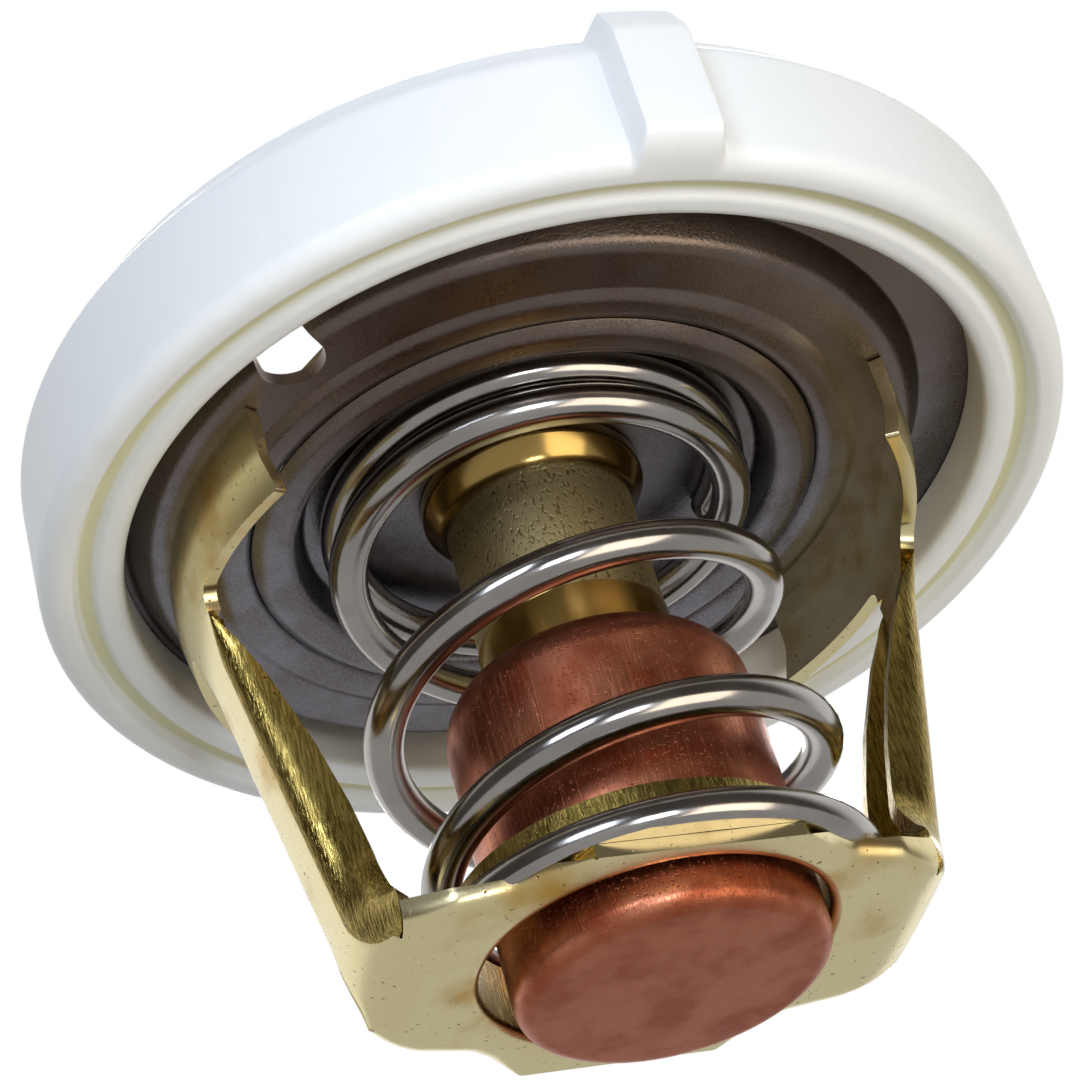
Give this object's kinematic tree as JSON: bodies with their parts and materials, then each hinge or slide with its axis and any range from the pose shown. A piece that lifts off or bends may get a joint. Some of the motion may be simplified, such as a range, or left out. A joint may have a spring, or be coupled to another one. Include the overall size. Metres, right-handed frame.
{
  "type": "engine thermostat",
  "caption": "Wax-capsule engine coolant valve: dished metal flange with a moulded silicone seal, sprung valve disc, copper capsule and open brass frame.",
  "frame": {"origin": "centre of the seal ring, level with the underside of the flat land of the flange plate", "axes": "+Z from the capsule towards the upper bridge, +X towards one leg of the lower frame"},
  "size_m": [0.062, 0.0637, 0.0515],
  "materials": {
    "silicone": "smooth moulded",
    "stainless_sheet": "satin pressed",
    "brass_sheet": "rolled and pressed, slightly brushed",
    "ground_steel": "ground",
    "white_plastic": "plain",
    "black_rubber": "plain",
    "turned_brass": "turned, matt above and bright below",
    "copper": "drawn copper, worn and finely pitted",
    "wax": "cast",
    "spring_wire": "polished stainless wire"
  },
  "bodies": {
    "flange": {"seal_ring": "silicone", "flange_plate": "stainless_sheet", "upper_bridge": "brass_sheet", "lower_frame": "brass_sheet", "piston": "ground_steel", "backing_disc": "white_plastic", "rubber_plug": "black_rubber", "main_spring": "spring_wire"},
    "element": {"valve_disc": "stainless_sheet", "guide": "turned_brass", "capsule_cup": "copper", "diaphragm": "black_rubber", "wax_pellet": "wax"}
  },
  "joints": [
    {"name": "valve_lift", "type": "slide", "parent": "flange", "child": "element", "axis": [0, 0, -1], "range_m": [0, 0.0085], "stiffness_N_per_m": 2600, "springref_m": -0.02, "deforming": ["main_spring"]}
  ]
}
